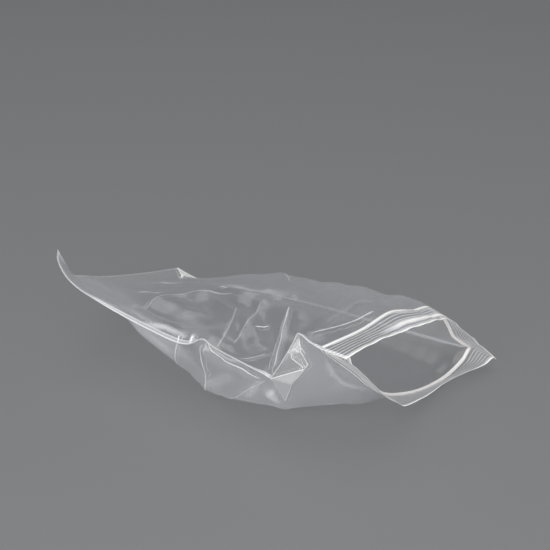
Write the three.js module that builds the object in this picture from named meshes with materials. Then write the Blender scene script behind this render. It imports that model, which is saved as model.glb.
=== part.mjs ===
// Clear resealable bag, empty and crumpled, lying open on a table.
// X runs from the closed bottom to the mouth, Y from the near side weld to the far one, and Z is up.
// The film is cut flat, hung on the curves that its edges take, and eased back to its flat size.
import * as THREE from 'three';

// Flat bag, in millimetres
const BAG_WIDTH = 200;
const BAG_LENGTH = 280;
const LIP_LENGTH = 18;
const WELD_WIDTH = 3;
const BOTTOM_CREASE = 2;
const FILM = 0.15;

// Press zip on the inner faces: a barbed rib on the upper wall, and a two-jaw groove on the lower one
const ZIP_WIDTH = 3;
const ZIP_HEIGHT = 1.7;
const CRUSHED_END = 12;
const BARBED_RIB = [
  [-0.5, 0], [-0.45, 0.12], [-0.17, 0.16], [-0.15, 0.55], [-0.3, 0.6], [-0.08, 1],
  [0.08, 1], [0.3, 0.6], [0.15, 0.55], [0.17, 0.16], [0.45, 0.12], [0.5, 0],
];
const TWO_JAW_GROOVE = [
  [-0.5, 0], [-0.5, 0.85], [-0.22, 1], [-0.22, 0.8], [-0.33, 0.7], [-0.33, 0],
  [0.33, 0], [0.33, 0.7], [0.22, 0.8], [0.22, 1], [0.5, 0.85], [0.5, 0],
];

// Grip ribs between the zip and the lip edge
const RIB_COUNT = 6;
const RIB_WIDTH = 0.7;
const RIB_HEIGHT = 0.3;

// How the film lies: valley and crest along the upper wall, and belly of the lower one
const VALLEY_DEPTH = 8.5;
const CREST_LIFT = 7;
const BELLY_DEPTH = 29;
const FULLEST = 1.6;
const WALL_GAP = 0.8;

// How fast the shape of each edge dies out over the film
const NEAR_FADE = 3.8;
const FAR_FADE = 4;
const BOTTOM_FADE = 2.5;
const ZIP_FADE = 1.7;

// How far each wall comes back to its flat size, and how hard the lower one sinks to the table
const WALL_SLACK = [0.4, 1];
const LOWER_SAG = 0.4;
const SAG_FROM = 0.3;
const SAG_FULL = 0.65;

// Where the film can come back: past the stiff bottom, and away from the kink of the near seam
const STIFF_BOTTOM = 0.1;
const LOOSE_BODY = 0.45;
const KINK_FROM = 0.65;
const KINK_FULL = 0.75;
const KINK_WIDTH = 0.05;
const KINK_END = 0.3;
const KINK_HOLD = 0.8;

// Sharp creases, as flat points across and along, with height out of the bag and width to each side
const UPPER_CREASES = [
  { path: [[2, 202], [36, 189], [60, 180], [71, 176]], height: 3, width: 10 },
  { path: [[22, 159], [51, 153], [72, 153]], height: 2.5, width: 12 },
  { path: [[6, 154], [25, 141], [45, 131]], height: 2, width: 9 },
  { path: [[95, 98], [89, 107], [86, 118]], height: 2.5, width: 10 },
  { path: [[17, 72], [55, 63], [75, 70], [88, 93], [92, 130]], height: 4, width: 20 },
  { path: [[6, 249], [33, 253], [63, 256]], height: 2, width: 8 },
  { path: [[196, 4], [186, 16], [170, 24]], height: 2, width: 8 },
  { path: [[155, 35], [132, 82]], height: -4, width: 32 },
];
const LOWER_CREASES = [
  { path: [[4, 144], [24, 146], [34, 144], [45, 139]], height: 4.5, width: 18 },
  { path: [[6, 112], [19, 114], [34, 119]], height: 2.5, width: 14 },
  { path: [[45, 157], [20, 183], [12, 200]], height: 3, width: 14 },
  { path: [[3, 227], [20, 236]], height: 3, width: 8 },
  { path: [[9, 200], [20, 231]], height: -3, width: 9 },
  { path: [[21, 234], [25, 218], [42, 205]], height: 4.5, width: 11 },
  { path: [[16, 252], [32, 249], [45, 244]], height: -2.5, width: 9 },
  { path: [[41, 131], [43, 140], [46, 148]], height: 4.5, width: 16 },
  { path: [[20, 55], [28, 66]], height: -3, width: 18 },
  { path: [[60, 150], [75, 185], [95, 235]], height: 2, width: 16 },
];

// Edges of a bag of the size below, as it lies, each from the bottom or the near side on
const EDGE_WIDTH = 200;
const EDGE_LENGTH = 280;
const NEAR_SEAM = [
  [-227, -82, 81], [-228, -82, 74], [-222, -82, 64], [-212, -82, 58], [-193, -82, 53], [-171, -82, 49],
  [-148, -82, 46], [-120, -82, 44], [-110, -82, 46], [-97, -82, 53], [-90, -82, 50], [-64, -82, 45],
  [-45, -82, 44], [-39, -82, 46], [-23, -82, 74], [-18, -82, 83], [-10, -82, 80], [-2, -81, 77],
];
const FAR_SEAM = [
  [-260, 76, 1], [-232, 71, 1], [-200, 77, 2], [-130, 86, 5], [-60, 87, 8], [2, 86, 12],
];
const BOTTOM_EDGE = [
  [-227, -82, 81], [-227, -76, 70], [-230, -66, 56], [-234, -50, 48], [-240, -32, 39], [-245, 0, 27],
  [-252, 37, 14], [-260, 76, 1],
];
const UPPER_ZIP = [
  [-2, -81, 77], [2, -43, 77], [1, -10, 77], [3, 1, 74.5], [1, 18, 67.5], [1, 31, 65], [-1, 57, 44],
  [0, 64, 31], [1, 74, 22], [2, 86, 12],
];
const LOWER_ZIP = [
  [-2, -81, 77], [6, -55, 53], [8, -30, 28], [6, 2, 13], [3, 34, 4], [2, 60, 3], [2, 86, 12],
];
const UPPER_LIP = [
  [16, -77, 74], [18, -57, 76], [20, -3, 70], [18, 21, 64], [16, 34, 59], [17, 64, 33], [18, 92, 7],
];
const LOWER_LIP = [
  [16, -77, 74], [18, -57, 53], [18, -36, 31], [20, -18, 17], [17, 9, 12], [15, 60, 7], [18, 92, 7],
];

// Grid of the film. Its lines crowd towards the near side and the mouth, where the film is most crumpled.
const COLUMNS = 28;
const BODY_ROWS = 30;
const LIP_ROWS = 3;
const CROWDING = 0.35;
const EASING_PASSES = 400;
const PARTING_PASSES = 10;

const { clamp, lerp, smoothstep } = THREE.MathUtils;

function edgeCurve(points) {
  const long = BAG_LENGTH / EDGE_LENGTH;
  const wide = BAG_WIDTH / EDGE_WIDTH;
  const placed = points.map(([x, y, z]) => new THREE.Vector3(x * long, y * wide, z * wide));
  return new THREE.CatmullRomCurve3(placed, false, 'centripetal');
}

const nearSeam = edgeCurve(NEAR_SEAM);
const farSeam = edgeCurve(FAR_SEAM);
const bottomEdge = edgeCurve(BOTTOM_EDGE);
const UPPER = 0;
const LOWER = 1;
const WALLS = [UPPER, LOWER];
const zips = [edgeCurve(UPPER_ZIP), edgeCurve(LOWER_ZIP)];
const lips = [edgeCurve(UPPER_LIP), edgeCurve(LOWER_LIP)];

// Flat positions of the grid lines: across from the near edge, and along from the bottom fold
const zipAt = BAG_LENGTH - LIP_LENGTH;
const across = [0];
for (let j = 0; j <= COLUMNS; j += 1) {
  const t = j / COLUMNS;
  across.push(WELD_WIDTH + (BAG_WIDTH - 2 * WELD_WIDTH) * (t - CROWDING * t * (1 - t)));
}
across.push(BAG_WIDTH);
const along = [0];
const zipStart = zipAt - ZIP_WIDTH / 2;
const zipEnd = zipAt + ZIP_WIDTH / 2;
for (let i = 0; i <= BODY_ROWS; i += 1) {
  const t = i / BODY_ROWS;
  along.push(lerp(BOTTOM_CREASE, zipStart, t + CROWDING * t * (1 - t)));
}
for (let i = 0; i <= LIP_ROWS; i += 1) {
  along.push(lerp(zipEnd, BAG_LENGTH, i / LIP_ROWS));
}
const lastColumn = across.length - 1;
const lastRow = along.length - 1;
const zipRow = lastRow - LIP_ROWS - 1;

// How full the bag is, from the bottom fold to the zip
function fullness(v) {
  return Math.sin(Math.PI * v ** FULLEST);
}

// The straight line between the ends of an edge, and how far the edge bows away from it
function chord(edge, share) {
  return edge.getPointAt(0).lerp(edge.getPointAt(1), share);
}
function bow(edge, share) {
  return edge.getPointAt(share).sub(chord(edge, share));
}

// A point of the hung film, at u across and v along, where v is 1 at the zip
function hungPoint(wall, u, v) {
  if (v > 1) {
    const up = ((v - 1) * zipAt) / LIP_LENGTH;
    return zips[wall].getPointAt(u).lerp(lips[wall].getPointAt(u), up);
  }
  const point = chord(bottomEdge, u).lerp(chord(zips[wall], u), v);
  point.addScaledVector(bow(nearSeam, v), (1 - u) ** NEAR_FADE);
  point.addScaledVector(bow(farSeam, v), u ** FAR_FADE);
  point.addScaledVector(bow(bottomEdge, u), (1 - v) ** BOTTOM_FADE);
  point.addScaledVector(bow(zips[wall], u), v ** ZIP_FADE);
  const crown = Math.sin(Math.PI * u);
  if (wall === UPPER) {
    point.z += fullness(v) * (CREST_LIFT * crown - VALLEY_DEPTH * Math.sin(2 * Math.PI * u));
  } else {
    point.z -= fullness(v) * v * BELLY_DEPTH * crown;
  }
  return point;
}

// Grid points of both walls. They share the side welds and the bottom crease.
const points = [];
const free = [];
const grid = [[], []];
for (const wall of WALLS) {
  for (let i = 0; i <= lastRow; i += 1) {
    grid[wall].push([]);
    for (let j = 0; j <= lastColumn; j += 1) {
      const welded = i <= 1 || j <= 1 || j >= lastColumn - 1;
      if (wall === LOWER && welded) {
        grid[LOWER][i].push(grid[UPPER][i][j]);
      } else {
        grid[wall][i].push(points.length);
        points.push(hungPoint(wall, across[j] / BAG_WIDTH, along[i] / zipAt));
        const onSeam = j === 0 || j === lastColumn;
        const onEdge = i === 0 || i >= zipRow;
        free.push(onSeam || onEdge ? 0 : 1);
      }
    }
  }
}

// How far the film comes back to its flat size at u across and v along
function slackness(u, v) {
  const kink = (1 - smoothstep(u, KINK_WIDTH, KINK_END)) * smoothstep(v, KINK_FROM, KINK_FULL);
  return smoothstep(v, STIFF_BOTTOM, LOOSE_BODY) * (1 - KINK_HOLD * kink);
}

// Links between grid points. Each pulls from its hung length towards its flat one.
const links = [];
function addLink(wall, i, j, down, right, stiffness) {
  const k = i + down;
  const m = j + right;
  if (k > lastRow || m < 0 || m > lastColumn) return;
  const a = grid[wall][i][j];
  const b = grid[wall][k][m];
  const flat = Math.hypot(along[k] - along[i], across[m] - across[j]);
  const hung = points[a].distanceTo(points[b]);
  const slack = WALL_SLACK[wall] * slackness(across[j] / BAG_WIDTH, along[i] / zipAt);
  links.push({ a, b, stiffness, length: lerp(hung, flat, slack) });
}
for (const wall of WALLS) {
  for (let i = 0; i <= lastRow; i += 1) {
    for (let j = 0; j <= lastColumn; j += 1) {
      addLink(wall, i, j, 0, 1, 1);
      addLink(wall, i, j, 1, 0, 1);
      addLink(wall, i, j, 1, 1, 0.5);
      addLink(wall, i, j, 1, -1, 0.5);
      addLink(wall, i, j, 0, 2, 0.2);
      addLink(wall, i, j, 2, 0, 0.2);
      addLink(wall, i, j, 0, 4, 0.05);
      addLink(wall, i, j, 4, 0, 0.05);
    }
  }
}

// Direction out of a wall at a grid point
function outward(wall, i, j) {
  const before = grid[wall][Math.max(i - 1, 0)][j];
  const after = grid[wall][Math.min(i + 1, lastRow)][j];
  const nearer = grid[wall][i][Math.max(j - 1, 0)];
  const farther = grid[wall][i][Math.min(j + 1, lastColumn)];
  const lengthwise = points[after].clone().sub(points[before]);
  const crosswise = points[farther].clone().sub(points[nearer]);
  const normal = lengthwise.cross(crosswise).normalize();
  return wall === UPPER ? normal : normal.negate();
}

function pullLinks() {
  const reach = new THREE.Vector3();
  for (const { a, b, length, stiffness } of links) {
    const share = free[a] + free[b];
    if (share === 0) continue;
    reach.subVectors(points[b], points[a]);
    const part = (stiffness * (1 - length / reach.length())) / share;
    points[a].addScaledVector(reach, part * free[a]);
    points[b].addScaledVector(reach, -part * free[b]);
  }
}

// The lower wall sinks to the table
function sag(strength) {
  for (let i = 0; i < zipRow; i += 1) {
    const sink = LOWER_SAG * strength * smoothstep(along[i] / zipAt, SAG_FROM, SAG_FULL);
    for (const n of grid[LOWER][i]) points[n].z -= sink * free[n];
  }
}

// The two walls never pass through each other
function partWalls() {
  for (let i = 2; i < zipRow; i += 1) {
    for (let j = 2; j < lastColumn - 1; j += 1) {
      const high = points[grid[UPPER][i][j]];
      const low = points[grid[LOWER][i][j]];
      const normal = outward(UPPER, i, j).sub(outward(LOWER, i, j)).normalize();
      const short = WALL_GAP - normal.dot(high.clone().sub(low));
      if (short > 0) {
        high.addScaledVector(normal, short / 2);
        low.addScaledVector(normal, -short / 2);
      }
    }
  }
}

function keepAboveTable() {
  for (const point of points) point.z = Math.max(point.z, FILM);
}

for (let pass = 0; pass < EASING_PASSES; pass += 1) {
  sag(1 - pass / EASING_PASSES);
  pullLinks();
  partWalls();
  keepAboveTable();
}

// Distance in the flat film from a place to a crease
function creaseDistance(path, place) {
  let nearest = Infinity;
  for (let n = 1; n < path.length; n += 1) {
    const from = new THREE.Vector2(...path[n - 1]);
    const span = new THREE.Vector2(...path[n]).sub(from);
    const part = clamp(place.clone().sub(from).dot(span) / span.lengthSq(), 0, 1);
    nearest = Math.min(nearest, place.distanceTo(from.addScaledVector(span, part)));
  }
  return nearest;
}

// A crease is sharp at its ridge and runs out smoothly to each side
function creaseHeight(creases, place) {
  let height = 0;
  for (const crease of creases) {
    const closeness = Math.max(0, 1 - creaseDistance(crease.path, place) / crease.width);
    height += crease.height * closeness ** 2;
  }
  return height;
}

for (const [wall, creases] of [[UPPER, UPPER_CREASES], [LOWER, LOWER_CREASES]]) {
  const moves = [];
  for (let i = 2; i < zipRow; i += 1) {
    for (let j = 2; j < lastColumn - 1; j += 1) {
      const place = new THREE.Vector2(across[j], along[i]);
      place.multiply(new THREE.Vector2(EDGE_WIDTH / BAG_WIDTH, EDGE_LENGTH / BAG_LENGTH));
      moves.push([points[grid[wall][i][j]], outward(wall, i, j), creaseHeight(creases, place)]);
    }
  }
  for (const [point, normal, height] of moves) point.addScaledVector(normal, height);
}
for (let pass = 0; pass < PARTING_PASSES; pass += 1) {
  partWalls();
  keepAboveTable();
}

// Rows of the inner face, as distance along the film and height into the bag: body, zip, ribs and lip edge
function innerRows(wall) {
  const rows = [];
  for (let i = 1; i < zipRow; i += 1) rows.push({ flat: along[i], place: along[i], height: 0 });
  const profile = wall === UPPER ? BARBED_RIB : TWO_JAW_GROOVE;
  profile.forEach(([place, height], n) => {
    const flat = zipAt + ZIP_WIDTH * (n / (profile.length - 1) - 0.5);
    rows.push({ flat, place: zipAt + ZIP_WIDTH * place, height: ZIP_HEIGHT * height });
  });
  const ribPitch = (BAG_LENGTH - zipEnd) / (RIB_COUNT + 1);
  for (let n = 1; n <= RIB_COUNT; n += 1) {
    const middle = zipEnd + n * ribPitch;
    for (const step of [-0.5, 0, 0.5]) {
      const place = middle + step * RIB_WIDTH;
      rows.push({ flat: place, place, height: step === 0 ? RIB_HEIGHT : 0 });
    }
  }
  rows.push({ flat: BAG_LENGTH, place: BAG_LENGTH, height: 0 });
  return rows;
}

// Skin of the bag: the outer faces carry the film thickness, and the inner faces the zip and ribs
const corners = [];
const faces = [];
function addCorner(point) {
  corners.push(point.x, point.y, point.z);
  return corners.length / 3 - 1;
}
function addQuad(a, b, c, d, turned) {
  if (turned) {
    faces.push(a, c, b, a, d, c);
  } else {
    faces.push(a, b, c, a, c, d);
  }
}

const normals = WALLS.map((wall) => grid[wall].map((row, i) => row.map((n, j) => outward(wall, i, j))));

const outer = WALLS.map((wall) => grid[wall].map((row, i) => row.map((n, j) => (
  addCorner(points[n].clone().addScaledVector(normals[wall][i][j], FILM))
))));

function innerPoint(wall, j, row) {
  const atWeld = j === 1 || j === lastColumn - 1;
  const place = atWeld ? row.flat : row.place;
  let i = along.findIndex((line) => line >= place - 1e-6);
  i = Math.max(i, 1);
  const part = (place - along[i - 1]) / (along[i] - along[i - 1]);
  const point = points[grid[wall][i - 1][j]].clone().lerp(points[grid[wall][i][j]], part);
  const normal = normals[wall][i - 1][j].clone().lerp(normals[wall][i][j], part).normalize();
  const fromWeld = Math.min(across[j], BAG_WIDTH - across[j]) - WELD_WIDTH;
  return point.addScaledVector(normal, -row.height * smoothstep(fromWeld, 0, CRUSHED_END));
}

const inner = [];
for (const wall of WALLS) {
  const rows = innerRows(wall);
  inner.push(rows.map((row, k) => {
    const line = [];
    for (let j = 1; j < lastColumn; j += 1) {
      const shared = k === 0 || j === 1 || j === lastColumn - 1;
      line[j] = wall === LOWER && shared ? inner[UPPER][k][j] : addCorner(innerPoint(wall, j, row));
    }
    return line;
  }));
}
const lastInner = inner[UPPER].length - 1;

// In the far bottom corner the walls meet on two sides, so the quad is split the other way there
for (const wall of WALLS) {
  const turned = wall === LOWER;
  const skin = outer[wall];
  for (let i = 0; i < lastRow; i += 1) {
    for (let j = 0; j < lastColumn; j += 1) {
      const quad = [skin[i][j], skin[i + 1][j], skin[i + 1][j + 1], skin[i][j + 1]];
      if (i === 1 && j === lastColumn - 2) quad.push(quad.shift());
      addQuad(...quad, turned);
    }
  }
  const lining = inner[wall];
  for (let k = 0; k < lastInner; k += 1) {
    for (let j = 1; j < lastColumn - 1; j += 1) {
      const quad = [lining[k][j], lining[k + 1][j], lining[k + 1][j + 1], lining[k][j + 1]];
      if (k === 0 && j === lastColumn - 2) quad.push(quad.shift());
      addQuad(...quad, !turned);
    }
  }
  for (let j = 1; j < lastColumn - 1; j += 1) {
    const edge = lining[lastInner];
    addQuad(skin[lastRow][j], edge[j], edge[j + 1], skin[lastRow][j + 1], turned);
  }
}

// Cut edges of the side welds, the bottom fold and the weld ends at the lips
const [top, base] = outer;
for (let i = 0; i < lastRow; i += 1) {
  addQuad(top[i][0], base[i][0], base[i + 1][0], top[i + 1][0], false);
  addQuad(top[i][lastColumn], top[i + 1][lastColumn], base[i + 1][lastColumn], base[i][lastColumn], false);
}
for (let j = 0; j < lastColumn; j += 1) {
  addQuad(top[0][j], top[0][j + 1], base[0][j + 1], base[0][j], false);
}
for (const [edge, weld, turned] of [[0, 1, false], [lastColumn, lastColumn - 1, true]]) {
  const meet = inner[UPPER][lastInner][weld];
  const fan = [top[lastRow][weld], top[lastRow][edge], base[lastRow][edge], base[lastRow][weld]];
  for (let n = 0; n < 3; n += 1) {
    if (turned) {
      faces.push(meet, fan[n + 1], fan[n]);
    } else {
      faces.push(meet, fan[n], fan[n + 1]);
    }
  }
}

const skinGeometry = new THREE.BufferGeometry();
skinGeometry.setAttribute('position', new THREE.Float32BufferAttribute(corners, 3));
skinGeometry.setIndex(faces);
skinGeometry.computeVertexNormals();

// The origin is on the table, under the middle of the bag
skinGeometry.computeBoundingBox();
const box = skinGeometry.boundingBox;
skinGeometry.translate(-(box.min.x + box.max.x) / 2, -(box.min.y + box.max.y) / 2, -box.min.z);

const clearFilm = new THREE.MeshStandardMaterial({
  color: 0xe9ecf2, roughness: 0.15, metalness: 0, transparent: true, opacity: 0.35,
});
const bag = new THREE.Mesh(skinGeometry, clearFilm);
bag.name = 'bag';

const part = new THREE.Group();
part.name = 'resealable_bag';
part.add(bag);

export default part;
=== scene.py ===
"""A clear resealable bag, empty and crumpled, lying open on the floor.

Sizes are in millimetres, in the way the bag lies: X runs from the closed bottom to the mouth, Y from the
near side weld to the far one, and Z is up. The film is cut flat, hung on the curves that its edges take,
eased back to its flat size, and then creased. Its meshes are in metres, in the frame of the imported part.
"""
import math

import bpy
import bmesh
import numpy as np
from mathutils import Matrix, Vector


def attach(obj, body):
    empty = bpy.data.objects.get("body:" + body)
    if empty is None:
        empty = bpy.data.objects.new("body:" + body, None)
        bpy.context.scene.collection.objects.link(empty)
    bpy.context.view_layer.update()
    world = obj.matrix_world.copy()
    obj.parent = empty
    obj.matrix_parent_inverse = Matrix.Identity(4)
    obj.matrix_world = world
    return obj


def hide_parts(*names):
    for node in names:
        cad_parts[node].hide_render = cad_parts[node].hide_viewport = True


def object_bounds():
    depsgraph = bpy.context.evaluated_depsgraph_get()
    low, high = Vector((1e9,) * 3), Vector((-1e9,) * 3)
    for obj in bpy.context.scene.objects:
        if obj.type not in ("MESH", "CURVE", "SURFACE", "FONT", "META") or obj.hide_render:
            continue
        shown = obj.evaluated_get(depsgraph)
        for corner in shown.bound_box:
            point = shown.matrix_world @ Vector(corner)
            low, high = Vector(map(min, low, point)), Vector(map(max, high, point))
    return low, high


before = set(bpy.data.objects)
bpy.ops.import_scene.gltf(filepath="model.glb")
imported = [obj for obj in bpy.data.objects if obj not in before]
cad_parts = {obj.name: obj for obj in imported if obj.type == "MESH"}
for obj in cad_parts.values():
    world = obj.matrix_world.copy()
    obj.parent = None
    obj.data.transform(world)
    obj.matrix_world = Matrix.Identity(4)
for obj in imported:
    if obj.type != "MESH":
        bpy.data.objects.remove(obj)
cad_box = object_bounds()

MM = 0.001

# Flat bag
BAG_WIDTH = 200
BAG_LENGTH = 280
LIP_LENGTH = 18
CUT_EDGE = 0.5
BOTTOM_CREASE = 2
FILM = 0.15

# Side welds: half the gap between the walls, the bead on the cut edge, and the line by the inner edge
WELD_WIDTH = 3
WELD_GAP = 0.01
BEAD_HEIGHT = 0.25
BEAD_WIDTH = 0.55
BEAD_FOOT = 0.825
WELD_LINE = 0.4

# Press zip on the inner faces: a barbed rib on the upper wall, and a two-jaw groove on the lower one.
# The profiles are in shares of its width and height, and its ends are crushed into the welds.
ZIP_WIDTH = 3
ZIP_HEIGHT = 1.7
ZIP_SINK = 0.04
CRUSHED_END = 12
CRUSHED_HEIGHT = 0.2
BARBED_RIB = [
    (-0.5, 0), (-0.45, 0.12), (-0.17, 0.16), (-0.15, 0.55), (-0.3, 0.6), (-0.08, 1), (0.08, 1),
    (0.3, 0.6), (0.15, 0.55), (0.17, 0.16), (0.45, 0.12), (0.5, 0), (0.2, 0), (-0.2, 0),
]
TWO_JAW_GROOVE = [
    (-0.5, 0), (-0.5, 0.85), (-0.22, 1), (-0.22, 0.8), (-0.33, 0.7), (-0.33, 0.1), (0.33, 0.1),
    (0.33, 0.7), (0.22, 0.8), (0.22, 1), (0.5, 0.85), (0.5, 0), (0.2, 0), (-0.2, 0),
]

# Grip ribs between the zip and the lip edge
RIB_COUNT = 6
RIB_WIDTH = 0.7
RIB_HEIGHT = 0.3

# Small waves of the cut lips: height at the edge of the upper and the lower wall, length along the edge,
# and the height and rate of a second wave as shares of the first
LIP_WAVES = (0.3, 0.1)
LIP_WAVE_LENGTH = 30
SECOND_WAVE_HEIGHT = 0.7
SECOND_WAVE_RATE = 1.9

# How the film lies: valley and crest along the upper wall, and belly of the lower one
VALLEY_DEPTH = 8.5
CREST_LIFT = 7
BELLY_DEPTH = 29
FULLEST = 1.6
WALL_GAP = 0.8

# How fast the shape of each edge dies out over the film
NEAR_FADE = 3.8
FAR_FADE = 4
BOTTOM_FADE = 2.5
ZIP_FADE = 1.7

# How far each wall comes back to its flat size, and how hard the lower one sinks to the floor
WALL_SLACK = (0.4, 1)
LOWER_SAG = 0.4
SAG_FROM = 0.3
SAG_FULL = 0.65

# Where the film can come back: past the stiff bottom, and away from the kink of the near seam
STIFF_BOTTOM = 0.1
LOOSE_BODY = 0.45
KINK_FROM = 0.65
KINK_FULL = 0.75
KINK_WIDTH = 0.05
KINK_END = 0.3
KINK_HOLD = 0.8

# Grid that the film eases on. Its lines crowd towards the near side and the mouth.
COLUMNS = 28
BODY_ROWS = 30
LIP_ROWS = 3
CROWDING = 0.35
EASING_PASSES = 400

# Links of that grid: rows down, columns right, and stiffness
LINKS = [
    (0, 1, 1), (1, 0, 1), (1, 1, 0.5), (1, -1, 0.5),
    (0, 2, 0.2), (2, 0, 0.2), (0, 4, 0.05), (4, 0, 0.05),
]

# Finer grid that the film is drawn on, the least gap between its walls there, and how far in from the
# near seam and the bottom it is brought back onto their curves
FINE_STEP = 1.3
FINE_GAP = 0.6
EDGE_REACH = 18

# Edges of the bag as it lies, each from the bottom or the near side on
NEAR_SEAM = [
    (-227, -82, 81), (-228, -82, 74), (-222, -82, 64), (-212, -82, 58), (-193, -82, 53), (-171, -82, 49),
    (-148, -82, 46), (-120, -82, 44), (-110, -82, 46), (-97, -82, 54), (-90, -82, 51.5), (-64, -82, 47.5),
    (-46, -82, 45), (-41, -82, 44), (-38, -82, 47.5), (-23, -82, 74), (-18, -82, 83), (-10, -82, 80),
    (-2, -81, 77),
]
FAR_SEAM = [(-260, 76, 1), (-232, 71, 1), (-200, 77, 2), (-130, 86, 5), (-60, 87, 8), (2, 86, 12)]
BOTTOM_EDGE = [
    (-227, -82, 81), (-227, -76, 70), (-230, -66, 56), (-234, -50, 48), (-240, -32, 39), (-245, 0, 27),
    (-252, 37, 14), (-260, 76, 1),
]
UPPER_ZIP = [
    (-2, -81, 77), (2, -43, 77), (1, -10, 77), (3, 1, 74.5), (1, 18, 67.5), (1, 31, 65), (-1, 57, 44),
    (0, 64, 31), (1, 74, 22), (2, 86, 12),
]
LOWER_ZIP = [
    (-2, -81, 77), (6, -55, 53), (8, -30, 28), (6, 2, 13), (3, 34, 4), (2, 60, 3), (2, 86, 12),
]
UPPER_LIP = [
    (16, -77, 74), (18, -57, 76), (20, -3, 70), (18, 21, 64), (16, 34, 59), (17, 64, 33), (18, 92, 7),
]
LOWER_LIP = [
    (16, -77, 74), (18, -57, 53), (18, -36, 31), (19.7, -20.7, 19.1), (20, -18, 17), (19.6, -14.8, 16.4),
    (17, 9, 12), (13, 45, 9), (17, 75, 8), (18, 92, 7),
]

# Creases: flat points across and along, height out of the bag, width to each side, and how white
# the line on them is. That line is partly the film whitened at the crease and partly a painted glint along it.
UPPER_CREASES = [
    ([(-6, 206), (36, 189), (60, 180), (71, 176)], 3, 10, 0.3),
    ([(3, 198), (34, 185), (58, 179)], -1.5, 6, 0.15),
    ([(15, 160), (72, 153)], 2, 12, 0.12),
    ([(3, 155), (59, 139)], 1.5, 10, 0.15),
    ([(41, 163), (51, 170)], 0.3, 4, 0.6),
    ([(4, 172), (22, 187)], 1, 6, 0.25),
    ([(89, 104), (81, 119)], 0.5, 6, 0.8),
    ([(82, 118), (78, 136), (80, 152), (86, 170)], 2, 8, 0.1),
    ([(6, 76), (28, 74), (47, 72), (63, 79), (71, 91), (75, 106), (72, 130)], 3, 20, 0.15),
    ([(6, 249), (33, 253), (63, 256)], 2, 8, 0.4),
    ([(0, 132), (9, 130)], 2, 4, 1),
    ([(0, 121), (6, 120)], 1.5, 4, 1),
    ([(155, 35), (132, 82)], -4, 32, 0),
    ([(150, 122), (134, 130), (118, 144), (104, 158)], 2.8, 16, 0.12),
]
LOWER_CREASES = [
    ([(4, 144), (24, 146), (34, 144), (45, 139)], 3.8, 18, 0.6),
    ([(6, 112), (19, 114), (34, 119)], 1.2, 14, 0.4),
    ([(0, 143), (6, 151), (9, 162), (9, 176), (12, 192)], -1.5, 6, 0.7),
    ([(46, 157), (21, 184), (10, 199)], 3, 14, 0.3),
    ([(41, 200), (62, 194)], 1.5, 14, 0),
    ([(0, 226), (4, 233), (10, 237)], 1.5, 4, 0.8),
    ([(1, 236), (7, 239), (14, 240)], 1, 4, 0.7),
    ([(16, 252), (32, 249), (45, 244)], -2.5, 9, 0),
    ([(-6, 258), (36, 259), (64, 260)], 0.4, 4, 0.8),
    ([(41, 131), (43, 140), (46, 148)], 4.5, 16, 0.1),
    ([(20, 55), (28, 66)], -3, 18, 0),
    ([(60, 150), (75, 185), (95, 235)], 2, 16, 0),
    ([(82, 218), (90, 226), (96, 237), (106, 245)], -3, 24, 0),
    ([(50, 191), (57, 195), (65, 203), (82, 208), (88, 223), (90, 237), (98, 243)], 0.3, 4, 0.5),
]

# Lengths over which creases and folds run out at the welds and the bottom, and creases at the zip
EDGE_RUNOUT = 4
ZIP_RUNOUT = 5

# Flat facets of the folds: corners across and along with their height out of the bag, then triples of
# corners with a milkiness, and how far around them the film is drawn along. A facet's milkiness is partly the
# film whitened in the fold and partly painted light, which makes the facets that face the lamps paler.
FOLD_CORNERS = {
    "vee": (10, 200, 0), "seam": (0, 226, 0), "tip": (21, 233, 0.5), "top": (10, 237, 0),
    "side": (20, 237, 0.5), "crown": (3, 241, 0), "waist": (24, 218, 2), "foot": (41, 205, 1),
    "corner": (199, 1, 0), "turned": (170, 24, 3), "weld": (199, 29, 0), "hem": (197, 13, 0),
}
UPPER_FACETS = [("corner", "turned", "weld", 0.6)]
LOWER_FACETS = [
    ("vee", "seam", "tip", 0.02), ("seam", "top", "tip", 0.1), ("top", "side", "tip", 0.05),
    ("seam", "crown", "top", 0.3), ("vee", "tip", "waist", 0.22), ("vee", "waist", "foot", 0.12),
]
FOLD_REACH = 8

# White lines along and across those facets: corners, and how white the line is. Like the crease lines, they
# are partly whitened film and partly painted glints.
UPPER_FOLD_LINES = [(["corner", "turned", "weld", "corner"], 1), (["turned", "hem"], 1)]
LOWER_FOLD_LINES = [
    (["vee", "tip"], 0.95), (["seam", "tip"], 0.9), (["top", "side", "tip"], 0.8), (["seam", "top"], 0.5),
    (["tip", "waist", "foot"], 0.5), (["crown", "top"], 0.8),
]

# White lines: how far out their offset is kept, their half width from core to edge, and their taper at
# the ends of a crease and of a fold, which is at most a share of the line's length
LINE_REACH = 3
LINE_CORE = 0.05
LINE_EDGE = 0.75
CREASE_TAPER = 6
FOLD_TAPER = 0.5
MOST_TAPER = 0.25
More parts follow.
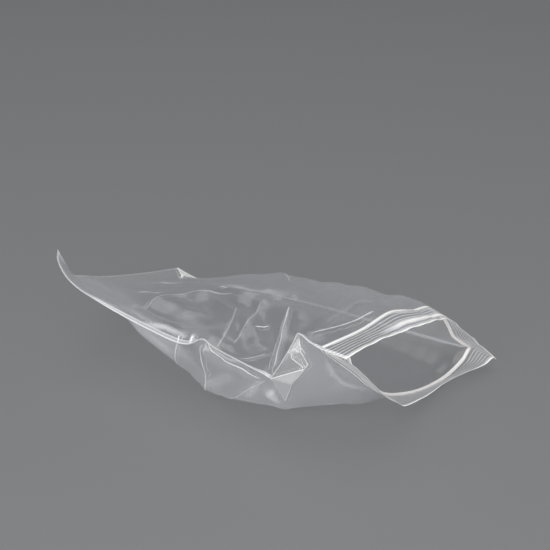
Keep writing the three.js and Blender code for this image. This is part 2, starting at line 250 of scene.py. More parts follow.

# Soft pale streaks without relief, which are painted highlights and lit patches of the film, some of them
# along whitened crumples: flat points across and along, width to each side, and how milky they are, with a
# taper at both ends as a share of the streak's length
UPPER_STREAKS_AND_HIGHLIGHTS = [
    ([(-20, 212), (36, 190), (60, 181), (80, 172)], 2.5, 0.07),
    ([(12, 161), (72, 153)], 2.5, 0.05),
    ([(4, 157), (30, 146), (60, 139)], 2.5, 0.06),
    ([(112, 25), (97, 54), (99, 70)], 2.5, 0.2),
    ([(55, 50), (75, 66)], 2.5, 0.2),
    ([(19, 73), (51, 68)], 2, 0.1),
    ([(-3, 133), (11, 129)], 1.8, 0.8),
    ([(60, 203), (92, 240)], 6, 0.05),
    ([(35, 273.9), (155, 273.9)], 2.2, 1.2),
    ([(1, 88), (8, 107), (6, 130)], 4, 0.25),
    ([(102, 90), (92, 118), (86, 140), (92, 172)], 9, 0.1),
]
LOWER_STREAKS_AND_HIGHLIGHTS = [
    ([(10, 258), (22, 252), (37, 247), (47, 248), (57, 252), (76, 262)], 5.5, 0.26),
    ([(26, 256), (37, 254), (48, 256)], 2, 0.2),
    ([(10, 60), (24, 80), (28, 114), (33, 126)], 7, 0.16),
    ([(44, 138), (24, 160), (12, 178)], 9, 0.16),
    ([(17, 198), (30, 198), (48, 197)], 5, 0.45),
    ([(10, 194), (22, 186), (36, 176)], 6, 0.2),
    ([(0, 146), (5, 154), (6, 166), (0, 188)], 2.5, 0.35),
    ([(36, 269), (55, 270), (78, 271)], 7, 0.4),
]
STREAK_TAPER = 1 / 3

# How milky the film is where it is welded, ribbed, cut and folded
NEAR_BEAD_MILK = 0.42
FAR_BEAD_MILK = 0.3
WELD_MILK = 0.08
WELD_LINE_MILK = 0.5
LIP_MILK = 0.02
RIB_MILK = 0.5
EDGE_MILK = 1
FOLD_MILK = 0.05

# The zip is white from its middle to this share of its width, and clear at its edges
ZIP_CORE = 0.34
ZIP_EDGE = 0.5

# Painted sheen on the near part of the lower wall, where it stands up as the hull, making it lighter as if
# lit: it ends across the film, and grows along it from a share at the bottom
PAINTED_HULL_SHEEN = 0.105
HULL_SHEEN_ACROSS = (50, 90)
HULL_SHEEN_ALONG = (110, 240)
HULL_SHEEN_AT_BOTTOM = 0.4

# Veil of the film, and that of the upper and the lower wall by the far end of the mouth
VEIL = 0.08
MOUTH_VEILS = (0.115, 0.03)
MOUTH_ACROSS = (60, 100)
MOUTH_ALONG = (130, 190)

# Clear film, with its gloss seen straight on and at a grazing angle
CLEAR_COLOUR = (0.985, 0.988, 0.992, 1)
GLOSS_COLOUR = (1, 1, 1, 1)
GLOSS_ROUGHNESS = 0.25
GLOSS_AHEAD = 0.04
GLOSS_GRAZING = 0.55
GLOSS_POWER = 5

# Milky film: tints of the faintest and the whitest, the share of light that each lets through, the milk
# at which that share stops falling, and the share of the veil that stops a lamp
FAINT_TINT = (0.94, 0.95, 0.975, 1)
WHITE_TINT = (0.975, 0.955, 0.935, 1)
FAINT_THROUGH = 0.9
WHITE_THROUGH = 0.3
THROUGH_TO = 0.1
LAMP_STOPPED = 0.3

# Floor, from its middle to its edges and down from the bag
FLOOR_REACH = 6000
FLOOR_GAP = 0.3
FLOOR_COLOUR = (0.18, 0.182, 0.185, 1)
FLOOR_ROUGHNESS = 0.6

# Light from all around, and lamps: place, target and size in metres, and power in watts
SKY_COLOUR = (0.97, 0.98, 1, 1)
SKY_STRENGTH = 0.3
LAMPS = {
    "overhead": ((0, 0, 1.7), (0, 0, 0), (2.4, 2.0), 20),
    "front_fill": ((0.95, -1.35, 0.85), (0, 0, 0.04), (2.8, 1.6), 33),
}

# Camera, with its angles in degrees and the pixel at which it sees the origin of the bag's lay
CAMERA_AZIMUTH = 39
CAMERA_PITCH = 25
CAMERA_DISTANCE = 1392
FOCAL_PIXELS = 2100
IMAGE_SIDE = 550
ORIGIN_PIXEL = (396, 410)
SENSOR_WIDTH = 36

UPPER = 0
LOWER = 1
WALLS = (UPPER, LOWER)
ZIPS = [UPPER_ZIP, LOWER_ZIP]
LIPS = [UPPER_LIP, LOWER_LIP]
CREASES = [UPPER_CREASES, LOWER_CREASES]
FACETS = [UPPER_FACETS, LOWER_FACETS]
FOLD_LINES = [UPPER_FOLD_LINES, LOWER_FOLD_LINES]
STREAKS_AND_HIGHLIGHTS = [UPPER_STREAKS_AND_HIGHLIGHTS, LOWER_STREAKS_AND_HIGHLIGHTS]
ZIP_AT = BAG_LENGTH - LIP_LENGTH
ZIP_START = ZIP_AT - ZIP_WIDTH / 2
ZIP_END = ZIP_AT + ZIP_WIDTH / 2


def smoothstep(x, low, high):
    t = np.clip((np.asarray(x, float) - low) / (high - low), 0, 1)
    return t * t * (3 - 2 * t)


def from_side(across):
    """Flat distance from the nearer side edge."""
    return np.minimum(across, BAG_WIDTH - across)


def above_floor(points):
    """The same points, with none under the floor."""
    points[..., 2] = np.maximum(points[..., 2], FILM)
    return points


class EdgeCurve:
    """A smooth curve through points, read by its share of length."""

    STEPS = 80

    def __init__(self, points):
        p = np.array(points, float)
        p = np.vstack([2 * p[0] - p[1], p, 2 * p[-1] - p[-2]])
        t = np.linspace(0, 1, self.STEPS, endpoint=False)[:, None]
        spans = []
        for p0, p1, p2, p3 in zip(p, p[1:], p[2:], p[3:]):
            d0, d1, d2 = (math.sqrt(np.linalg.norm(b - a)) for a, b in ((p0, p1), (p1, p2), (p2, p3)))
            m1 = ((p1 - p0) / d0 - (p2 - p0) / (d0 + d1) + (p2 - p1) / d1) * d1
            m2 = ((p2 - p1) / d1 - (p3 - p1) / (d1 + d2) + (p3 - p2) / d2) * d1
            square = 3 * (p2 - p1) - 2 * m1 - m2
            cube = 2 * (p1 - p2) + m1 + m2
            spans.append(p1 + m1 * t + square * t**2 + cube * t**3)
        self.run = np.vstack([*spans, p[-2:-1]])
        steps = np.linalg.norm(np.diff(self.run, axis=0), axis=1)
        self.share = np.concatenate([[0], np.cumsum(steps)]) / steps.sum()

    def at(self, share):
        return np.stack([np.interp(share, self.share, self.run[:, k]) for k in range(3)], axis=-1)

    def chord(self, share):
        """Straight line between the curve's ends, read by its share of length."""
        return self.run[0] + (self.run[-1] - self.run[0]) * share[:, None]

    def bow(self, share):
        """How far the curve is from its chord."""
        return self.at(share) - self.chord(share)


def easing_grid():
    """Flat places of the grid lines across and along, closer where the film is most crumpled."""
    t = np.linspace(0, 1, COLUMNS + 1)
    inner = WELD_WIDTH + (BAG_WIDTH - 2 * WELD_WIDTH) * ((1 - CROWDING) * t + CROWDING * t**2)
    across = np.concatenate([[0], inner, [BAG_WIDTH]])
    t = np.linspace(0, 1, BODY_ROWS + 1)
    body = BOTTOM_CREASE + (ZIP_START - BOTTOM_CREASE) * ((1 + CROWDING) * t - CROWDING * t**2)
    along = np.concatenate([[0], body, np.linspace(ZIP_END, BAG_LENGTH, LIP_ROWS + 1)])
    return across, along


def hang(across, along):
    """Both walls of the film, hung on the edge curves at u across and v along, where v is 1 at the zip."""
    near, far, bottom = EdgeCurve(NEAR_SEAM), EdgeCurve(FAR_SEAM), EdgeCurve(BOTTOM_EDGE)
    u = across / BAG_WIDTH
    v = np.minimum(along / ZIP_AT, 1)
    w = v[:, None, None]
    up = np.clip((along - ZIP_AT) / LIP_LENGTH, 0, 1)[:, None, None]
    bows = near.bow(v)[:, None] * ((1 - u) ** NEAR_FADE)[:, None]
    bows = bows + far.bow(v)[:, None] * (u**FAR_FADE)[:, None]
    bows = bows + bottom.bow(u) * (1 - w) ** BOTTOM_FADE
    crown = np.sin(np.pi * u)
    swing = np.sin(2 * np.pi * u)
    full = np.sin(np.pi * v**FULLEST)[:, None]
    lifts = [full * (CREST_LIFT * crown - VALLEY_DEPTH * swing), -full * v[:, None] * BELLY_DEPTH * crown]
    walls = []
    for wall in WALLS:
        mouth = EdgeCurve(ZIPS[wall])
        film = bottom.chord(u) * (1 - w) + mouth.chord(u) * w + bows + mouth.bow(u) * w**ZIP_FADE
        film[..., 2] += lifts[wall]
        lip = mouth.at(u) * (1 - up) + EdgeCurve(LIPS[wall]).at(u) * up
        walls.append(np.where(up > 0, lip, film))
    return walls


def slopes(grid):
    """Steps between the neighbours of each row of points in a grid."""
    return np.concatenate([grid[1:2] - grid[:1], grid[2:] - grid[:-2], grid[-1:] - grid[-2:-1]])


def outward(film, wall):
    """Direction out of a wall at each grid point."""
    normal = np.cross(slopes(film), slopes(film.swapaxes(0, 1)).swapaxes(0, 1))
    normal /= np.linalg.norm(normal, axis=-1, keepdims=True)
    return normal if wall == UPPER else -normal


def looseness(across, along):
    """How far the film can come back to its flat size."""
    u = across[None] / BAG_WIDTH
    v = along[:, None] / ZIP_AT
    kink = (1 - smoothstep(u, KINK_WIDTH, KINK_END)) * smoothstep(v, KINK_FROM, KINK_FULL)
    return smoothstep(v, STIFF_BOTTOM, LOOSE_BODY) * (1 - KINK_HOLD * kink)


def make_links(index, points, free, across, along):
    """Groups of links that share no point, each pulling from its hung length towards its flat one."""
    loose = looseness(across, along)
    rows, columns = np.indices(loose.shape)
    groups = []
    for wall in WALLS:
        slack = WALL_SLACK[wall] * loose
        for down, right, stiffness in LINKS:
            fits = (rows + down < len(along)) & (columns + right < len(across)) & (columns + right >= 0)
            line = (rows if down else columns) // max(down, right)
            for turn in (0, 1):
                i, j = np.nonzero(fits & (line % 2 == turn))
                a = index[wall][i, j]
                b = index[wall][i + down, j + right]
                flat = np.hypot(along[i + down] - along[i], across[j + right] - across[j])
                hung = np.linalg.norm(points[b] - points[a], axis=1)
                length = hung + (flat - hung) * slack[i, j]
                share = stiffness / np.maximum(free[a] + free[b], 1)
                groups.append((a, b, length, share * free[a], share * free[b]))
    return groups


def parting(upper, lower, gap):
    """How far each wall moves away from the other where they are closer than a gap."""
    normal = outward(upper, UPPER) - outward(lower, LOWER)
    normal /= np.linalg.norm(normal, axis=-1, keepdims=True)
    short = gap - np.sum(normal * (upper - lower), axis=-1)
    return normal * np.maximum(short, 0)[..., None] / 2


def ease(walls, across, along):
    """The hung film, eased back towards its flat size, with the walls apart and nothing under the floor."""
    shape = (len(along), len(across))
    zip_row = len(along) - LIP_ROWS - 2
    welded = np.zeros(shape, bool)
    welded[:2] = welded[:, :2] = welded[:, -2:] = True
    held = np.zeros(shape, bool)
    held[0] = held[zip_row:] = held[:, 0] = held[:, -1] = True
    first = np.arange(welded.size).reshape(shape)
    index = [first, np.where(welded, first, first + welded.size)]
    points = np.concatenate([wall.reshape(-1, 3) for wall in walls])
    free = np.tile(~held.ravel(), 2).astype(float)
    groups = make_links(index, points, free, across, along)

    low = index[LOWER][:zip_row]
    sink = LOWER_SAG * smoothstep(along[:zip_row, None] / ZIP_AT, SAG_FROM, SAG_FULL) * free[low]
    inside = (slice(2, zip_row), slice(2, -2))
    for n in range(EASING_PASSES):
        points[low, 2] -= sink * (1 - n / EASING_PASSES)
        for a, b, length, to_a, to_b in groups:
            reach = points[b] - points[a]
            pull = reach * (1 - length / np.linalg.norm(reach, axis=1))[:, None]
            points[a] += pull * to_a[:, None]
            points[b] -= pull * to_b[:, None]
        push = parting(points[index[UPPER]], points[index[LOWER]], WALL_GAP)[inside]
        points[index[UPPER][inside]] += push
        points[index[LOWER][inside]] -= push
        above_floor(points)
    return points[index[UPPER]], points[index[LOWER]]


def refine(values, knots, places):
    """Smooth curves through rows of values at knots, read at places."""
    slope = np.gradient(values, knots, axis=0)
    n = np.clip(np.searchsorted(knots, places, side="right") - 1, 0, len(knots) - 2)
    gap = (knots[n + 1] - knots[n])[:, None, None]
    t = (places - knots[n])[:, None, None] / gap
    start, end = values[n], values[n + 1]
    square = 3 * (end - start) - gap * (2 * slope[n] + slope[n + 1])
    cube = 2 * (start - end) + gap * (slope[n] + slope[n + 1])
    return start + gap * slope[n] * t + square * t**2 + cube * t**3


def fine_grid():
    """Flat places of the lines that the film is drawn on, and which of them are crests of grip ribs."""
    line = WELD_WIDTH - WELD_LINE
    weld = [0, BEAD_WIDTH, BEAD_FOOT, line - WELD_LINE, line, WELD_WIDTH]
    count = round((BAG_WIDTH - 2 * WELD_WIDTH) / FINE_STEP)
    inner = np.linspace(WELD_WIDTH, BAG_WIDTH - WELD_WIDTH, count + 1)
    across = np.concatenate([weld, inner[1:-1], BAG_WIDTH - np.array(weld[::-1])])
    count = round((ZIP_START - BOTTOM_CREASE) / FINE_STEP)
    body = np.linspace(BOTTOM_CREASE, ZIP_START, count + 1)
    pitch = (BAG_LENGTH - ZIP_END) / (RIB_COUNT + 1)
    crests = ZIP_END + pitch * np.arange(1, RIB_COUNT + 1)
    ribs = (crests[:, None] + RIB_WIDTH * np.array([-0.5, 0, 0.5])).ravel()
    lip = [ZIP_AT, ZIP_END, *ribs, BAG_LENGTH - CUT_EDGE, BAG_LENGTH]
    along = np.concatenate([[0, BOTTOM_CREASE / 2], body, lip])
    return across, along, np.isclose(along[:, None], crests[None]).any(axis=1)


def follow_edges(film, across, along):
    """The refined film, with its near seam and bottom fold brought back onto their curves."""
    near = EdgeCurve(NEAR_SEAM).at(np.minimum(along / ZIP_AT, 1))
    stray = (near - film[:, 0]) * (along <= ZIP_AT)[:, None]
    film = film + stray[:, None] * (1 - smoothstep(across, WELD_WIDTH, EDGE_REACH))[:, None]
    bottom = EdgeCurve(BOTTOM_EDGE).at(across / BAG_WIDTH)
    return film + (bottom - film[0]) * (1 - smoothstep(along, BOTTOM_CREASE, EDGE_REACH))[:, None, None]


def line_spans(path, across, along):
    """For each straight span of a line: distance to it, offset to one side, and place along the line."""
    x, y = across[None], along[:, None]
    run = 0
    for (ax, ay), (bx, by) in zip(path, path[1:]):
        sx, sy = bx - ax, by - ay
        length = math.hypot(sx, sy)
        part = np.clip(((x - ax) * sx + (y - ay) * sy) / length**2, 0, 1)
        distance = np.hypot(x - ax - part * sx, y - ay - part * sy)
        yield distance, ((x - ax) * sy - (y - ay) * sx) / length, run + part * length
        run += length


def path_length(path):
    return sum(math.dist(a, b) for a, b in zip(path, path[1:]))


def open_film(across, along):
    """One on the open film, and running out at the welds and the bottom."""
    sides = smoothstep(from_side(across), WELD_WIDTH, WELD_WIDTH + EDGE_RUNOUT)
    bottom = smoothstep(along, BOTTOM_CREASE, BOTTOM_CREASE + EDGE_RUNOUT)
    return bottom[:, None] * sides[None]


def crease(film, wall, across, along):
    """A wall with its sharp creases."""
    height = np.zeros(film.shape[:2])
    for path, rise, width, _ in CREASES[wall]:
        nearest = np.min([distance for distance, *_ in line_spans(path, across, along)], axis=0)
        height += rise * np.maximum(0, 1 - nearest / width) ** 2
    height *= open_film(across, along)
    height *= 1 - smoothstep(along, ZIP_START - ZIP_RUNOUT, ZIP_START)[:, None]
    return above_floor(film + outward(film, wall) * height[..., None])


def facet_shares(names, across, along):
    """Shares of a facet's three corners at each grid point, and which points lie in it."""
    (ax, ay), (bx, by), (cx, cy) = (FOLD_CORNERS[name][:2] for name in names)
    x, y = across[None], along[:, None]
    area = (bx - ax) * (cy - ay) - (cx - ax) * (by - ay)
    second = ((x - ax) * (cy - ay) - (cx - ax) * (y - ay)) / area
    third = ((bx - ax) * (y - ay) - (x - ax) * (by - ay)) / area
    shares = np.stack([1 - second - third, second, third], axis=-1)
    return shares, (shares >= 0).all(axis=-1)


def fold(film, wall, across, along):
    """A wall with the flat facets of its folds, and the film around them drawn along."""
    normal = outward(film, wall)
    corners = {}
    for name, (x, y, lift) in FOLD_CORNERS.items():
        i, j = np.abs(along - y).argmin(), np.abs(across - x).argmin()
        corners[name] = film[i, j] + normal[i, j] * lift
    move = np.zeros_like(film)
    inside = np.zeros(film.shape[:2], bool)
    for *names, _ in FACETS[wall]:
        shares, within = facet_shares(names, across, along)
        flat = shares @ np.array([corners[name] for name in names])
        move[within] = (flat - film)[within]
        inside |= within
    places = np.stack(np.meshgrid(across, along), axis=-1)
    folded, moved = places[inside], move[inside]
    for i, j in np.argwhere(~inside):
        gaps = np.hypot(*(folded - places[i, j]).T)
        nearest = gaps.argmin()
        if gaps[nearest] < FOLD_REACH:
            move[i, j] = moved[nearest] * (1 - smoothstep(gaps[nearest], 0, FOLD_REACH))
    return above_floor(film + move * open_film(across, along)[..., None])


def wave_lip(film, wall, across, along):
    """A wall with the small waves of its lip, which grow from the zip to the cut edge."""
    turns = 2 * np.pi * across / LIP_WAVE_LENGTH
    wave = np.sin(turns + wall) + SECOND_WAVE_HEIGHT * np.sin(SECOND_WAVE_RATE * turns)
    wave *= smoothstep(from_side(across), WELD_WIDTH, WELD_WIDTH + CRUSHED_END)
    share = np.clip((along - ZIP_END) / (BAG_LENGTH - ZIP_END), 0, 1)
    height = LIP_WAVES[wall] * share[:, None] * wave[None]
    return film + outward(film, wall) * height[..., None]


def lay_film(across, along):
    """Both walls of the film as they lie, on the finer grid."""
    knots_across, knots_along = easing_grid()
    eased = ease(hang(knots_across, knots_along), knots_across, knots_along)
    walls = []
    for wall in WALLS:
        film = refine(eased[wall], knots_along, along)
        film = refine(film.swapaxes(0, 1), knots_across, across).swapaxes(0, 1)
        film = follow_edges(film, across, along)
        film = crease(film, wall, across, along)
        film = fold(film, wall, across, along)
        walls.append(wave_lip(film, wall, across, along))
    welded = (from_side(across) <= WELD_WIDTH)[None] | (along <= BOTTOM_CREASE)[:, None]
    held = welded | (along >= ZIP_START)[:, None]
    push = np.where(held[..., None], 0, parting(*walls, FINE_GAP))
    return walls[UPPER] + push, above_floor(walls[LOWER] - push)


def crease_lines(wall, across, along):
    """Offset from the nearest white line at each grid point, and how white that line is there, the line being
    partly whitened film and partly a painted glint.
    """
    nearest = np.full((len(along), len(across)), float(LINE_REACH))
    offset = nearest.copy()
    whiteness = np.zeros_like(nearest)
    lines = [(path, white, CREASE_TAPER) for path, _, _, white in CREASES[wall] if white]
    for names, white in FOLD_LINES[wall]:
        lines.append(([FOLD_CORNERS[name][:2] for name in names], white, FOLD_TAPER))
    for path, white, taper in lines:
        end = path_length(path)
        for distance, aside, place in line_spans(path, across, along):
            closer = distance < nearest
            drawn = smoothstep(np.minimum(place, end - place), 0, min(taper, MOST_TAPER * end))
            offset = np.where(closer, aside, offset)
            whiteness = np.where(closer, white * drawn, whiteness)
            nearest = np.minimum(nearest, distance)
    return offset, whiteness


def milk_and_sheen_map(wall, across, along, on_crest):
    """How white the film is at its welds, ribs, edges and bottom, in the painted sheen of its near lower wall,
    and in its facets and streaks, which are partly painted highlights and lit patches.
    """
    side = from_side(across)
    bead = np.where(across < BAG_WIDTH / 2, NEAR_BEAD_MILK, FAR_BEAD_MILK)
    weld = np.where(side <= BEAD_WIDTH, bead, WELD_MILK) * (side < WELD_WIDTH)
    weld += WELD_LINE_MILK * bead * np.isclose(side, WELD_WIDTH - WELD_LINE)
    lip = LIP_MILK * (along > ZIP_END) + RIB_MILK * on_crest + EDGE_MILK * (along >= BAG_LENGTH - CUT_EDGE)
    bottom = FOLD_MILK * (along <= BOTTOM_CREASE)
    milk = weld[None] + (lip + bottom)[:, None]
    if wall == LOWER:
        # painted sheen: the near part of the lower wall is made milkier so that it shows lighter, as if lit
        hull_sheen = PAINTED_HULL_SHEEN * (1 - smoothstep(across, *HULL_SHEEN_ACROSS))
        growth = HULL_SHEEN_AT_BOTTOM + (1 - HULL_SHEEN_AT_BOTTOM) * smoothstep(along, *HULL_SHEEN_ALONG)
        milk = milk + hull_sheen[None] * growth[:, None]
    # facets: partly film whitened in the fold, partly painted light on facets turned to the lamps
    for *names, facet_milk_and_light in FACETS[wall]:
        milk = milk + facet_milk_and_light * facet_shares(names, across, along)[1]
    # streaks: painted highlights and lit patches laid into the milk, together with some whitened crumples
    for path, width, white in STREAKS_AND_HIGHLIGHTS[wall]:
        end = path_length(path)
        for distance, _, place in line_spans(path, across, along):
            taper = smoothstep(np.minimum(place, end - place), 0, STREAK_TAPER * end)
            milk = np.maximum(milk, white * taper * (1 - smoothstep(distance, 0, width)))
    return np.clip(milk, 0, 1)


def veiling(wall, across, along):
    """How milky the film is at least."""
    by_mouth = smoothstep(across, *MOUTH_ACROSS)[None] * smoothstep(along, *MOUTH_ALONG)[:, None]
    return VEIL + (MOUTH_VEILS[wall] - VEIL) * by_mouth


def make_mesh(name, points, faces, values, material):
    """A smooth mesh object from points in millimetres, with named values at each point."""
    mesh = bpy.data.meshes.new(name)
    mesh.from_pydata((points * MM).tolist(), [], faces.tolist())
    mesh.polygons.foreach_set("use_smooth", np.ones(len(mesh.polygons), bool))
    for key, value in values.items():
        mesh.attributes.new(key, "FLOAT", "POINT").data.foreach_set("value", value.astype(np.float32))
    mesh.materials.append(material)
    piece = bpy.data.objects.new(name, mesh)
    bpy.context.scene.collection.objects.link(piece)
    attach(piece, "root")
    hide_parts("bag")
    return piece


def shell(outer, inner, turned):
    """Points and faces of a closed sheet between two grids of points."""
    rows, columns = outer.shape[:2]
    top = np.arange(rows * columns).reshape(rows, columns)
    quads = np.stack([top[:-1, :-1], top[1:, :-1], top[1:, 1:], top[:-1, 1:]], axis=-1).reshape(-1, 4)
    rim = np.concatenate([top[:-1, 0], top[-1, :-1], top[:0:-1, -1], top[0, :0:-1]])
    after = np.roll(rim, -1)
    lift = rows * columns
    edge = np.stack([after, rim, rim + lift, after + lift], axis=-1)
    faces = np.concatenate([quads, quads[:, ::-1] + lift, edge])
    if turned:
        faces = faces[:, ::-1]
    return np.concatenate([outer.reshape(-1, 3), inner.reshape(-1, 3)]), faces


def film_wall(name, wall, film, across, along, on_crest, material):
    """One wall of the bag as a closed sheet, with the beads of its welds and its grip ribs."""
    normal = outward(film, wall)
    side = from_side(across)[None]
    bead = BEAD_HEIGHT * (1 - smoothstep(side, 0, BEAD_WIDTH))
    outer = film + normal * (FILM + bead)[..., None]
    ribs = RIB_HEIGHT * on_crest[:, None] * smoothstep(side - WELD_WIDTH, 0, CRUSHED_END)
    inner = film + normal * (WELD_GAP - ribs)[..., None]
    offset, whiteness = crease_lines(wall, across, along)
    values = {
        "milk": milk_and_sheen_map(wall, across, along, on_crest),
        "veil": veiling(wall, across, along),
        "crease_offset": offset,
        "crease_white": whiteness,
    }
    on_both_faces = {key: np.tile(value.ravel(), 2) for key, value in values.items()}
    make_mesh(name, *shell(outer, inner, wall == LOWER), on_both_faces, material)


def zip_track(name, wall, film, across, along, profile, material):
    """One half of the press zip, run along the inner face of a wall from weld to weld."""
    row = np.searchsorted(along, ZIP_AT)
    keep = (across >= WELD_WIDTH) & (across <= BAG_WIDTH - WELD_WIDTH)
    base = film[row, keep]
    inward = -outward(film, wall)[row, keep]
    onward = film[row + 1, keep] - film[row - 1, keep]
    onward /= np.linalg.norm(onward, axis=-1, keepdims=True)
    from_weld = from_side(across)[keep] - WELD_WIDTH
    height = CRUSHED_HEIGHT + (1 - CRUSHED_HEIGHT) * smoothstep(from_weld, 0, CRUSHED_END)
    lines = []
    for place, rise in profile:
        lift = rise * ZIP_HEIGHT * height - ZIP_SINK
        lines.append(base + onward * ZIP_WIDTH * place + inward * lift[:, None])
    count, around = len(base), len(profile)
    index = np.arange(count * around).reshape(count, around)
    after = np.roll(index, -1, axis=1)
    faces = np.stack([index[:-1], index[1:], after[1:], after[:-1]], axis=-1).reshape(-1, 4)
    values = {
        "milk": np.tile([1 - smoothstep(abs(place), ZIP_CORE, ZIP_EDGE) for place, _ in profile], count),
        "veil": np.full(index.size, VEIL),
        "crease_offset": np.full(index.size, LINE_REACH),
        "crease_white": np.zeros(index.size),
    }
    close_ends(make_mesh(name, np.stack(lines, axis=1).reshape(-1, 3), faces, values, material))


def close_ends(piece):
    """Caps the open ends of a track, and points its faces outwards."""
    work = bmesh.new()
    work.from_mesh(piece.data)
    bmesh.ops.holes_fill(work, edges=[e for e in work.edges if e.is_boundary])
    bmesh.ops.recalc_face_normals(work, faces=work.faces)
    work.to_mesh(piece.data)
    work.free()


def add_node(tree, kind, *in_order, **by_name):
    """A shader node, with its inputs linked to outputs or set to values."""
    node = tree.nodes.new(kind)
    inputs = list(zip(node.inputs, in_order))
    inputs += [(node.inputs[name.replace("_", " ")], value) for name, value in by_name.items()]
    for socket, value in inputs:
        if isinstance(value, bpy.types.NodeSocket):
            tree.links.new(value, socket)
        else:
            socket.default_value = value
    return node


def point_value(tree, name):
    """A named value of the mesh's points."""
    node = tree.nodes.new("ShaderNodeAttribute")
    node.attribute_name = name
    return node.outputs["Fac"]


def maths(tree, operation, *values):
    node = add_node(tree, "ShaderNodeMath", *values)
    node.operation = operation
    return node.outputs[0]


def map_range(tree, value, **limits):
    return add_node(tree, "ShaderNodeMapRange", Value=value, **limits).outputs[0]


def shader(tree, kind, *in_order, **by_name):
    return add_node(tree, kind, *in_order, **by_name).outputs[0]


def milk_and_sheen_value(tree):
    """How milky a place on the film is, painted sheen and highlights included: its own milk, or the white line
    of a crease, which is partly a painted glint.
    """
    milk = point_value(tree, "milk")
    distance = maths(tree, "ABSOLUTE", point_value(tree, "crease_offset"))
    line = map_range(tree, distance, From_Min=LINE_CORE, From_Max=LINE_EDGE, To_Min=1, To_Max=0)
    line.node.interpolation_type = "SMOOTHSTEP"
    drawn = maths(tree, "MULTIPLY", line, point_value(tree, "crease_white"))
    return maths(tree, "MAXIMUM", milk, drawn)


def clear_shader(tree):
    """Clear film, with a thin gloss that grows towards a grazing angle."""
    facing = add_node(tree, "ShaderNodeLayerWeight").outputs["Facing"]
    steep = maths(tree, "POWER", facing, GLOSS_POWER)
    shine = map_range(tree, steep, To_Min=GLOSS_AHEAD, To_Max=GLOSS_GRAZING)
    clear = shader(tree, "ShaderNodeBsdfTransparent", Color=CLEAR_COLOUR)
    gloss = shader(tree, "ShaderNodeBsdfGlossy", Color=GLOSS_COLOUR, Roughness=GLOSS_ROUGHNESS)
    return shader(tree, "ShaderNodeMixShader", shine, clear, gloss)


def milky_shader(tree, milk):
    """Milky film, which lets less light through and is warmer where it is whiter."""
    tint = add_node(tree, "ShaderNodeValToRGB", Fac=milk)
    tint.color_ramp.elements[0].color = FAINT_TINT
    tint.color_ramp.elements[1].color = WHITE_TINT
    back = shader(tree, "ShaderNodeBsdfDiffuse", Color=tint.outputs["Color"])
    through = shader(tree, "ShaderNodeBsdfTranslucent", Color=tint.outputs["Color"])
    share = map_range(tree, milk, From_Max=THROUGH_TO, To_Min=FAINT_THROUGH, To_Max=WHITE_THROUGH)
    return shader(tree, "ShaderNodeMixShader", share, back, through)


def film_material():
    """Clear film that is milky where it is bent or welded, and milkier where sheen, highlights and glints are
    painted into it. Its veil stops only a part of a lamp's light.
    """
    material = bpy.data.materials.new("clear_film")
    material.use_nodes = True
    tree = material.node_tree
    tree.nodes.clear()
    milk = milk_and_sheen_value(tree)
    clear = clear_shader(tree)
    milky = milky_shader(tree, milk)
    haze = map_range(tree, milk, To_Min=point_value(tree, "veil"), To_Max=1)
    shadow = add_node(tree, "ShaderNodeLightPath").outputs["Is Shadow Ray"]
    stopped = map_range(tree, shadow, To_Min=1, To_Max=LAMP_STOPPED)
    film = shader(tree, "ShaderNodeMixShader", maths(tree, "MULTIPLY", haze, stopped), clear, milky)
    add_node(tree, "ShaderNodeOutputMaterial", Surface=film)
    return material


def make_bag():
    """Makes the bag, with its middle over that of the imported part, and gives the origin of its lay there."""
    across, along, on_crest = fine_grid()
    walls = lay_film(across, along)
    points = np.concatenate([film.reshape(-1, 3) for film in walls])
    lay_middle = (points.min(axis=0) + points.max(axis=0)) / 2
    cad_middle = np.array(cad_box[0] + cad_box[1]) / (2 * MM)
    lay_origin = (cad_middle - lay_middle) * (1, 1, 0)
    upper, lower = (film + lay_origin for film in walls)
    material = film_material()
    film_wall("upper_wall", UPPER, upper, across, along, on_crest, material)
    film_wall("lower_wall", LOWER, lower, across, along, on_crest, material)
    zip_track("zip_rib", UPPER, upper, across, along, BARBED_RIB, material)
    zip_track("zip_groove", LOWER, lower, across, along, TWO_JAW_GROOVE, material)
    return lay_origin


def plain_material(name, colour, roughness):
    material = bpy.data.materials.new(name)
    material.use_nodes = True
    surface = material.node_tree.nodes["Principled BSDF"]
    surface.inputs["Base Color"].default_value = colour
    surface.inputs["Roughness"].default_value = roughness
    return material


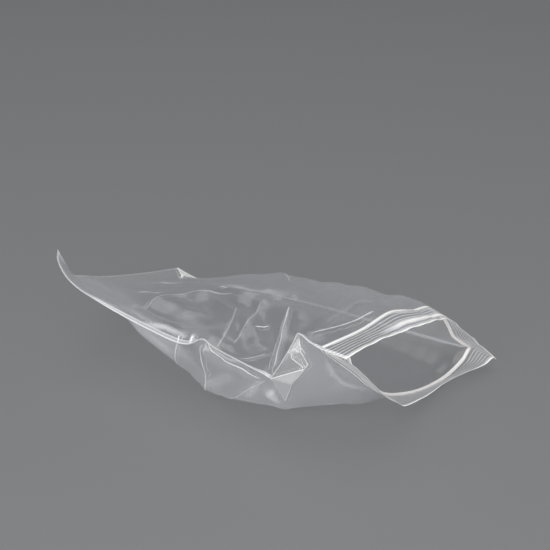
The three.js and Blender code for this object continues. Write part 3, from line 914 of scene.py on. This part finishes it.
def make_floor():
    mesh = bpy.data.meshes.new("floor")
    reach = FLOOR_REACH * MM
    corners = [(-reach, -reach, 0), (reach, -reach, 0), (reach, reach, 0), (-reach, reach, 0)]
    mesh.from_pydata(corners, [], [(0, 1, 2, 3)])
    mesh.materials.append(plain_material("floor_grey", FLOOR_COLOUR, FLOOR_ROUGHNESS))
    floor = bpy.data.objects.new("floor", mesh)
    floor.location.z = -FLOOR_GAP * MM
    bpy.context.scene.collection.objects.link(floor)


def area_light(name, place, target, size, power):
    """A rectangular lamp that faces its target."""
    data = bpy.data.lights.new(name, "AREA")
    data.shape = "RECTANGLE"
    data.size, data.size_y = size
    data.energy = power
    lamp = bpy.data.objects.new(name, data)
    lamp.location = place
    lamp.rotation_euler = (Vector(target) - Vector(place)).to_track_quat("-Z", "Y").to_euler()
    bpy.context.scene.collection.objects.link(lamp)


def make_light():
    world = bpy.data.worlds.new("studio")
    world.use_nodes = True
    background = world.node_tree.nodes["Background"]
    background.inputs["Color"].default_value = SKY_COLOUR
    background.inputs["Strength"].default_value = SKY_STRENGTH
    bpy.context.scene.world = world
    for name, lamp in LAMPS.items():
        area_light(name, *lamp)


def make_camera(lay_origin):
    azimuth, pitch = math.radians(CAMERA_AZIMUTH), math.radians(CAMERA_PITCH)
    ahead = Vector((-math.sin(azimuth), math.cos(azimuth), 0))
    right = Vector((math.cos(azimuth), math.sin(azimuth), 0))
    view = ahead * math.cos(pitch) - Vector((0, 0, math.sin(pitch)))
    up = ahead * math.sin(pitch) + Vector((0, 0, math.cos(pitch)))
    per_pixel = CAMERA_DISTANCE / FOCAL_PIXELS
    aside = (ORIGIN_PIXEL[0] - IMAGE_SIDE / 2) * per_pixel
    above = (IMAGE_SIDE / 2 - ORIGIN_PIXEL[1]) * per_pixel
    place = Vector(lay_origin) - right * aside - up * above - view * CAMERA_DISTANCE
    data = bpy.data.cameras.new("camera")
    data.sensor_width = SENSOR_WIDTH
    data.lens = SENSOR_WIDTH * FOCAL_PIXELS / IMAGE_SIDE
    camera = bpy.data.objects.new("camera", data)
    turn = Matrix((right, up, -view)).transposed().to_4x4()
    camera.matrix_world = Matrix.Translation(place * MM) @ turn
    bpy.context.scene.collection.objects.link(camera)
    bpy.context.scene.camera = camera


lay_origin = make_bag()
make_floor()
make_light()
make_camera(lay_origin)
bpy.context.scene.view_settings.view_transform = "Standard"
